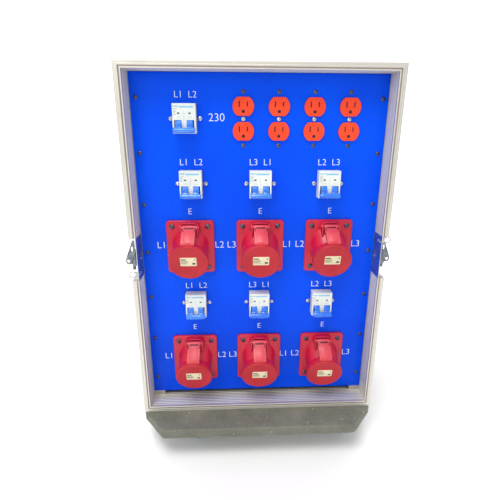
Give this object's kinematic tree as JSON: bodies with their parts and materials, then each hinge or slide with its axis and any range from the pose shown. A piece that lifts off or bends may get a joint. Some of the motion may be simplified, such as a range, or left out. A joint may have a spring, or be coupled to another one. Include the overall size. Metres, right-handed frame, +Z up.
{
  "type": "portable power distribution box",
  "caption": "Upright rolling power cabinet: aluminium-framed case with a recessed panel of breakers, duplex receptacles and angled lidded power sockets.",
  "frame": {"origin": "on the floor under the middle of the case", "axes": "+Z up, the open front with its panel faces -Y, +X to the right of a person facing the panel"},
  "size_m": [0.463, 0.384, 0.6882],
  "materials": {
    "case_laminate": "leather-grain laminate over plywood",
    "frame_aluminium": "satin anodised extrusion",
    "zinc_steel": "bright zinc plated",
    "latch_steel": "dark zinc plated",
    "rail_aluminium": "mill finish",
    "panel_blue": "glossy enamel",
    "screw_black": "black oxide",
    "screw_bright": "nickel plated",
    "breaker_white": "fine moulded",
    "toggle_blue": "moulded",
    "socket_red": "moulded",
    "lid_red": "moulded",
    "brass": "bright",
    "copper": "bare copper",
    "receptacle_orange": "moulded",
    "base_grey": "moulded, dusty",
    "terminal_grey": "moulded",
    "wheel_blue": "soft tread"
  },
  "bodies": {
    "cabinet": {"side_walls": "case_laminate", "wall_top": "case_laminate", "wall_bottom": "case_laminate", "wall_back": "case_laminate", "frame_top": "frame_aluminium", "frame_bottom": "frame_aluminium", "frame_left": "frame_aluminium", "frame_right": "frame_aluminium", "edge_trims": "frame_aluminium", "corner_caps": "zinc_steel", "latch_plates": "latch_steel", "rivets": "zinc_steel", "rack_rails": "rail_aluminium", "front_panel": "panel_blue", "panel_screws": "screw_black", "breaker_bodies": "breaker_white", "breaker_rails": "zinc_steel", "breaker_screws": "screw_bright", "socket_bodies": "socket_red", "socket_inserts": "terminal_grey", "socket_contacts": "brass", "socket_screws": "screw_black", "receptacle_bodies": "receptacle_orange", "receptacle_straps": "zinc_steel", "receptacle_screws": "screw_bright", "wheel_base": "base_grey", "caster_plates": "zinc_steel", "handle_dishes": "zinc_steel", "inlet_body": "socket_red", "inlet_pins": "brass", "terminal_block": "terminal_grey", "busbars": "copper"},
    "toggle_1": {"breaker_handle_1": "toggle_blue"},
    "toggle_2": {"breaker_handle_2": "toggle_blue"},
    "toggle_3": {"breaker_handle_3": "toggle_blue"},
    "toggle_4": {"breaker_handle_4": "toggle_blue"},
    "toggle_5": {"breaker_handle_5": "toggle_blue"},
    "toggle_6": {"breaker_handle_6": "toggle_blue"},
    "toggle_7": {"breaker_handle_7": "toggle_blue"},
    "lid_1": {"socket_lid_1": "lid_red"},
    "lid_2": {"socket_lid_2": "lid_red"},
    "lid_3": {"socket_lid_3": "lid_red"},
    "lid_4": {"socket_lid_4": "lid_red"},
    "lid_5": {"socket_lid_5": "lid_red"},
    "lid_6": {"socket_lid_6": "lid_red"},
    "inlet_cap": {"inlet_lid": "lid_red"},
    "latch_key_left": {"latch_wing_left": "latch_steel"},
    "latch_slide_left": {"latch_hook_left": "latch_steel"},
    "bail_left": {"handle_bail_left": "zinc_steel"},
    "latch_key_right": {"latch_wing_right": "latch_steel"},
    "latch_slide_right": {"latch_hook_right": "latch_steel"},
    "bail_right": {"handle_bail_right": "zinc_steel"},
    "fork_front_left": {"caster_fork_front_left": "zinc_steel"},
    "wheel_front_left": {"caster_wheel_front_left": "wheel_blue"},
    "fork_front_right": {"caster_fork_front_right": "zinc_steel"},
    "wheel_front_right": {"caster_wheel_front_right": "wheel_blue"},
    "fork_rear_left": {"caster_fork_rear_left": "zinc_steel"},
    "wheel_rear_left": {"caster_wheel_rear_left": "wheel_blue"},
    "fork_rear_right": {"caster_fork_rear_right": "zinc_steel"},
    "wheel_rear_right": {"caster_wheel_rear_right": "wheel_blue"}
  },
  "joints": [
    {"name": "toggle_1_throw", "type": "hinge", "parent": "cabinet", "child": "toggle_1", "pos_m": [-0.1195, -0.131, 0.5965], "axis": [-1, 0, 0], "range_deg": [0, 84]},
    {"name": "toggle_2_throw", "type": "hinge", "parent": "cabinet", "child": "toggle_2", "pos_m": [-0.114, -0.131, 0.4925], "axis": [-1, 0, 0], "range_deg": [0, 84]},
    {"name": "toggle_3_throw", "type": "hinge", "parent": "cabinet", "child": "toggle_3", "pos_m": [0, -0.131, 0.4925], "axis": [-1, 0, 0], "range_deg": [0, 84]},
    {"name": "toggle_4_throw", "type": "hinge", "parent": "cabinet", "child": "toggle_4", "pos_m": [0.114, -0.131, 0.4925], "axis": [-1, 0, 0], "range_deg": [0, 84]},
    {"name": "toggle_5_throw", "type": "hinge", "parent": "cabinet", "child": "toggle_5", "pos_m": [-0.114, -0.131, 0.2725], "axis": [-1, 0, 0], "range_deg": [0, 84]},
    {"name": "toggle_6_throw", "type": "hinge", "parent": "cabinet", "child": "toggle_6", "pos_m": [0, -0.131, 0.2725], "axis": [-1, 0, 0], "range_deg": [0, 84]},
    {"name": "toggle_7_throw", "type": "hinge", "parent": "cabinet", "child": "toggle_7", "pos_m": [0.114, -0.131, 0.2725], "axis": [-1, 0, 0], "range_deg": [0, 84]},
    {"name": "lid_1_hinge", "type": "hinge", "parent": "cabinet", "child": "lid_1", "pos_m": [-0.1195, -0.135, 0.4292], "axis": [-1, 0, 0], "range_deg": [0, 100], "stiffness_Nm_per_rad": 0.02, "springref_deg": -34.38},
    {"name": "lid_2_hinge", "type": "hinge", "parent": "cabinet", "child": "lid_2", "pos_m": [0.0005, -0.135, 0.4292], "axis": [-1, 0, 0], "range_deg": [0, 100], "stiffness_Nm_per_rad": 0.02, "springref_deg": -34.38},
    {"name": "lid_3_hinge", "type": "hinge", "parent": "cabinet", "child": "lid_3", "pos_m": [0.1205, -0.135, 0.4292], "axis": [-1, 0, 0], "range_deg": [0, 100], "stiffness_Nm_per_rad": 0.02, "springref_deg": -34.38},
    {"name": "lid_4_hinge", "type": "hinge", "parent": "cabinet", "child": "lid_4", "pos_m": [-0.1195, -0.135, 0.205], "axis": [-1, 0, 0], "range_deg": [0, 100], "stiffness_Nm_per_rad": 0.02, "springref_deg": -34.38},
    {"name": "lid_5_hinge", "type": "hinge", "parent": "cabinet", "child": "lid_5", "pos_m": [0.0005, -0.135, 0.205], "axis": [-1, 0, 0], "range_deg": [0, 100], "stiffness_Nm_per_rad": 0.02, "springref_deg": -34.38},
    {"name": "lid_6_hinge", "type": "hinge", "parent": "cabinet", "child": "lid_6", "pos_m": [0.1205, -0.135, 0.205], "axis": [-1, 0, 0], "range_deg": [0, 100], "stiffness_Nm_per_rad": 0.02, "springref_deg": -34.38},
    {"name": "inlet_lid_hinge", "type": "hinge", "parent": "cabinet", "child": "inlet_cap", "pos_m": [0, 0.176, 0.228], "axis": [1, 0, 0], "range_deg": [0, 100], "stiffness_Nm_per_rad": 0.02, "springref_deg": -34.38},
    {"name": "latch_left_turn", "type": "hinge", "parent": "cabinet", "child": "latch_key_left", "pos_m": [-0.214, -0.128, 0.3795], "axis": [-1, 0, 0], "range_deg": [-90, 90]},
    {"name": "latch_left_draw", "type": "slide", "parent": "cabinet", "child": "latch_slide_left", "axis": [0, -1, 0], "range_m": [-0.006, 0.006]},
    {"name": "handle_left_lift", "type": "hinge", "parent": "cabinet", "child": "bail_left", "pos_m": [-0.211, 0, 0.547], "axis": [0, 1, 0], "range_deg": [0, 90], "stiffness_Nm_per_rad": 0.12, "springref_deg": -22.92},
    {"name": "latch_right_turn", "type": "hinge", "parent": "cabinet", "child": "latch_key_right", "pos_m": [0.214, -0.128, 0.3795], "axis": [-1, 0, 0], "range_deg": [-90, 90]},
    {"name": "latch_right_draw", "type": "slide", "parent": "cabinet", "child": "latch_slide_right", "axis": [0, -1, 0], "range_m": [-0.006, 0.006]},
    {"name": "handle_right_lift", "type": "hinge", "parent": "cabinet", "child": "bail_right", "pos_m": [0.211, 0, 0.547], "axis": [0, -1, 0], "range_deg": [0, 90], "stiffness_Nm_per_rad": 0.12, "springref_deg": -22.92},
    {"name": "swivel_front_left", "type": "hinge", "parent": "cabinet", "child": "fork_front_left", "pos_m": [-0.14, -0.14, 0.043], "axis": [0, 0, 1], "continuous": true},
    {"name": "roll_front_left", "type": "hinge", "parent": "fork_front_left", "child": "wheel_front_left", "pos_m": [-0.118, -0.14, 0.019], "axis": [0, 1, 0], "continuous": true},
    {"name": "swivel_front_right", "type": "hinge", "parent": "cabinet", "child": "fork_front_right", "pos_m": [0.14, -0.14, 0.043], "axis": [0, 0, 1], "continuous": true},
    {"name": "roll_front_right", "type": "hinge", "parent": "fork_front_right", "child": "wheel_front_right", "pos_m": [0.162, -0.14, 0.019], "axis": [0, 1, 0], "continuous": true},
    {"name": "swivel_rear_left", "type": "hinge", "parent": "cabinet", "child": "fork_rear_left", "pos_m": [-0.14, 0.14, 0.043], "axis": [0, 0, 1], "continuous": true},
    {"name": "roll_rear_left", "type": "hinge", "parent": "fork_rear_left", "child": "wheel_rear_left", "pos_m": [-0.118, 0.14, 0.019], "axis": [0, 1, 0], "continuous": true},
    {"name": "swivel_rear_right", "type": "hinge", "parent": "cabinet", "child": "fork_rear_right", "pos_m": [0.14, 0.14, 0.043], "axis": [0, 0, 1], "continuous": true},
    {"name": "roll_rear_right", "type": "hinge", "parent": "fork_rear_right", "child": "wheel_rear_right", "pos_m": [0.162, 0.14, 0.019], "axis": [0, 1, 0], "continuous": true}
  ],
  "couplings": [
    {"joint": "latch_left_draw", "follows": "latch_left_turn", "m_per_rad": 0.0038},
    {"joint": "latch_right_draw", "follows": "latch_right_turn", "m_per_rad": 0.0038}
  ]
}
